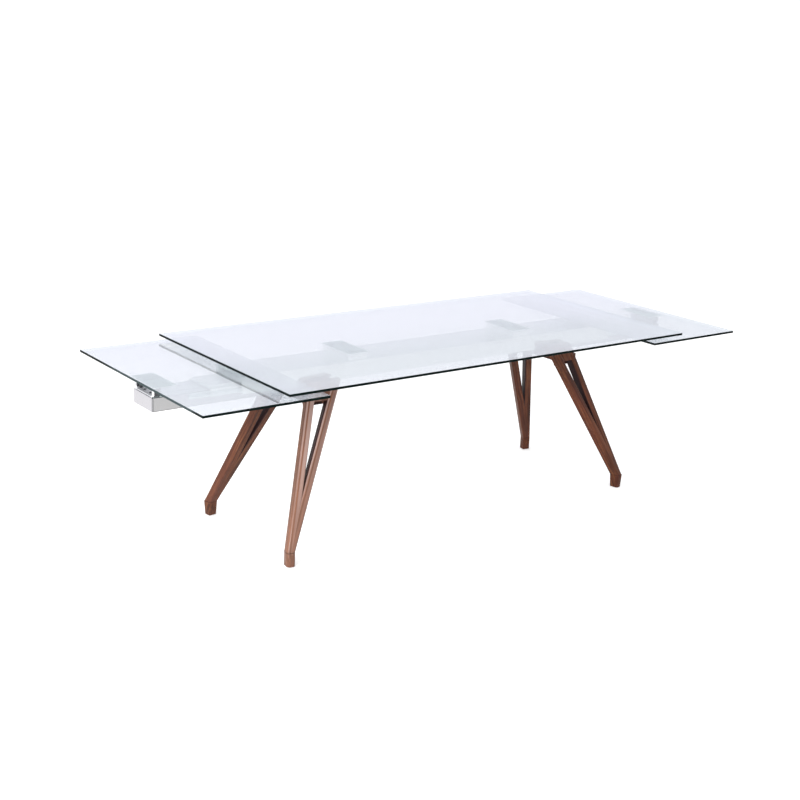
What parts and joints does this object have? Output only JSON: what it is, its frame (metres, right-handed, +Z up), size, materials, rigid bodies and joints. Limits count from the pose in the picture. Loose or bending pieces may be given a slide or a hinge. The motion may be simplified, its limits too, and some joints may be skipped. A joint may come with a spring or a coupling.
{
  "type": "extendable dining table",
  "caption": "Extendable glass dining table: glass top on a steel beam with splayed wooden wishbone legs, and a lower glass leaf at each end on telescopic slides.",
  "frame": {"origin": "on the floor, midway between the four feet, under the centre of the fixed top", "axes": "+X along the table, in which the leaves slide; +Y across it; +Z up"},
  "size_m": [2.68, 1, 0.745],
  "materials": {
    "clear_glass": "polished clear float glass with dark green edges",
    "walnut": "lacquered walnut",
    "polished_steel": "polished stainless steel",
    "plated_steel": "zinc-plated",
    "dark_steel": "blackened",
    "nylon": "moulded",
    "rubber": "matt"
  },
  "bodies": {
    "frame": {"main_glass": "clear_glass", "central_beam": "polished_steel", "left_beam_end": "polished_steel", "right_beam_end": "polished_steel", "left_support_block": "polished_steel", "right_support_block": "polished_steel", "left_support_plate": "plated_steel", "right_support_plate": "plated_steel", "support_screws": "plated_steel", "front_left_leg": "walnut", "front_right_leg": "walnut", "back_left_leg": "walnut", "back_right_leg": "walnut", "leg_mount_plates": "plated_steel", "leg_bolts": "dark_steel", "left_tie_plate": "plated_steel", "right_tie_plate": "plated_steel", "tie_screws": "dark_steel", "foot_glides": "nylon", "leaf_glide_pads": "nylon", "stop_blocks": "rubber", "left_fixed_rails": "plated_steel", "right_fixed_rails": "plated_steel", "rail_studs": "plated_steel"},
    "left_outer_balls": {"left_outer_ball_cages": "dark_steel"},
    "left_middle_slide": {"left_middle_rails": "plated_steel", "left_middle_bridge": "polished_steel"},
    "left_inner_balls": {"left_inner_ball_cages": "dark_steel"},
    "left_leaf": {"left_carriage_rails": "plated_steel", "left_carriage_box": "polished_steel", "left_carriage_cap": "polished_steel", "left_leaf_bracket": "polished_steel", "left_bracket_posts": "dark_steel", "left_bracket_screws": "dark_steel", "left_leaf_plate": "plated_steel", "left_leaf_glass": "clear_glass"},
    "right_outer_balls": {"right_outer_ball_cages": "dark_steel"},
    "right_middle_slide": {"right_middle_rails": "plated_steel", "right_middle_bridge": "polished_steel"},
    "right_inner_balls": {"right_inner_ball_cages": "dark_steel"},
    "right_leaf": {"right_carriage_rails": "plated_steel", "right_carriage_box": "polished_steel", "right_carriage_cap": "polished_steel", "right_leaf_bracket": "polished_steel", "right_bracket_posts": "dark_steel", "right_bracket_screws": "dark_steel", "right_leaf_plate": "plated_steel", "right_leaf_glass": "clear_glass"}
  },
  "joints": [
    {"name": "left_leaf_slide", "type": "slide", "parent": "frame", "child": "left_leaf", "axis": [-1, 0, 0], "range_m": [-0.34, 0.17]},
    {"name": "left_inner_balls_travel", "type": "slide", "parent": "frame", "child": "left_inner_balls", "axis": [-1, 0, 0], "range_m": [-0.255, 0.1275]},
    {"name": "left_middle_slide_travel", "type": "slide", "parent": "frame", "child": "left_middle_slide", "axis": [-1, 0, 0], "range_m": [-0.17, 0.085]},
    {"name": "left_outer_balls_travel", "type": "slide", "parent": "frame", "child": "left_outer_balls", "axis": [-1, 0, 0], "range_m": [-0.085, 0.0425]},
    {"name": "right_leaf_slide", "type": "slide", "parent": "frame", "child": "right_leaf", "axis": [1, 0, 0], "range_m": [-0.34, 0.17]},
    {"name": "right_inner_balls_travel", "type": "slide", "parent": "frame", "child": "right_inner_balls", "axis": [1, 0, 0], "range_m": [-0.255, 0.1275]},
    {"name": "right_middle_slide_travel", "type": "slide", "parent": "frame", "child": "right_middle_slide", "axis": [1, 0, 0], "range_m": [-0.17, 0.085]},
    {"name": "right_outer_balls_travel", "type": "slide", "parent": "frame", "child": "right_outer_balls", "axis": [1, 0, 0], "range_m": [-0.085, 0.0425]}
  ],
  "couplings": [
    {"joint": "left_inner_balls_travel", "follows": "left_leaf_slide", "ratio": 0.75},
    {"joint": "left_middle_slide_travel", "follows": "left_leaf_slide", "ratio": 0.5},
    {"joint": "left_outer_balls_travel", "follows": "left_leaf_slide", "ratio": 0.25},
    {"joint": "right_inner_balls_travel", "follows": "right_leaf_slide", "ratio": 0.75},
    {"joint": "right_middle_slide_travel", "follows": "right_leaf_slide", "ratio": 0.5},
    {"joint": "right_outer_balls_travel", "follows": "right_leaf_slide", "ratio": 0.25}
  ]
}
